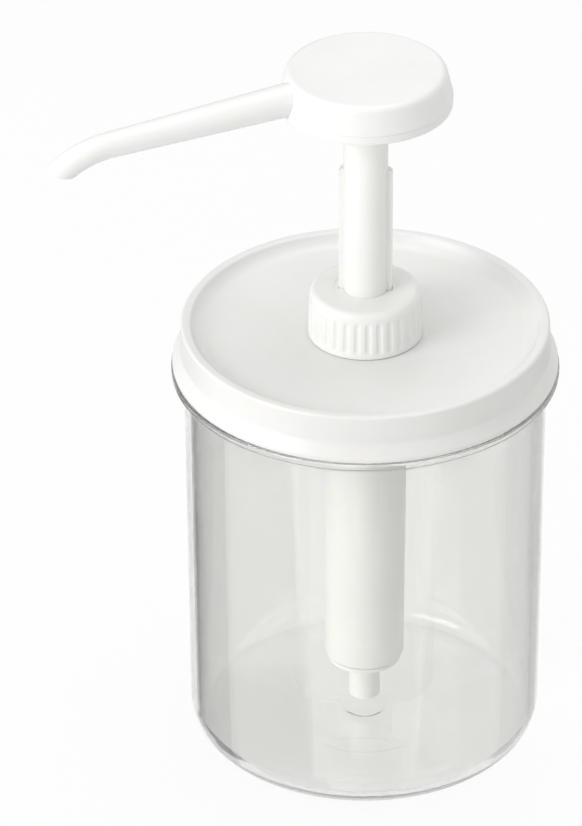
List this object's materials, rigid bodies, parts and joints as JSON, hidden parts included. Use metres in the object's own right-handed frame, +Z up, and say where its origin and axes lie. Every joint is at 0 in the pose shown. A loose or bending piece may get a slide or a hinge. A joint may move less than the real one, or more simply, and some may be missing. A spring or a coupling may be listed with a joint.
{
  "type": "syrup dispenser",
  "caption": "Clear round jar with a white press-on lid and a press-down portion pump with a long down-turned spout.",
  "frame": {"origin": "middle of the jar's flat foot, on the plane it stands on", "axes": "+Z up along the jar and pump axis; the spout points along -X; +Y completes a right-handed frame"},
  "size_m": [0.1612, 0.12, 0.2331],
  "materials": {
    "clear_plastic": "clear, polished",
    "white_plastic": "satin gloss white",
    "natural_plastic": "milky, waxy",
    "seal_rubber": "soft, pale",
    "stainless_steel": "polished"
  },
  "bodies": {
    "jar": {"jar": "clear_plastic"},
    "lid": {"lid": "white_plastic", "neck_gasket": "seal_rubber", "cylinder": "white_plastic", "guide_bush": "white_plastic", "valve_cage": "natural_plastic", "dip_tube": "white_plastic", "spring": "stainless_steel"},
    "collar": {"collar": "white_plastic"},
    "plunger": {"stem": "white_plastic", "piston": "natural_plastic", "outlet_seat": "natural_plastic", "nozzle": "white_plastic", "head_cap": "white_plastic"},
    "inlet_ball": {"inlet_ball": "stainless_steel"},
    "outlet_ball": {"outlet_ball": "stainless_steel"}
  },
  "joints": [
    {"name": "lid_lift", "type": "slide", "parent": "jar", "child": "lid", "axis": [0, 0, 1], "range_m": [0, 0.15]},
    {"name": "plunger_press", "type": "slide", "parent": "lid", "child": "plunger", "axis": [0, 0, -1], "range_m": [0, 0.062], "stiffness_N_per_m": 160, "springref_m": -0.03, "deforming": ["spring"]},
    {"name": "collar_turn", "type": "hinge", "parent": "lid", "child": "collar", "pos_m": [0, 0, 0.149], "axis": [0, 0, 1], "range_deg": [0, 360]},
    {"name": "inlet_ball_lift", "type": "slide", "parent": "lid", "child": "inlet_ball", "axis": [0, 0, 1], "range_m": [0, 0.0025]},
    {"name": "outlet_ball_lift", "type": "slide", "parent": "plunger", "child": "outlet_ball", "axis": [0, 0, 1], "range_m": [0, 0.0025]}
  ]
}
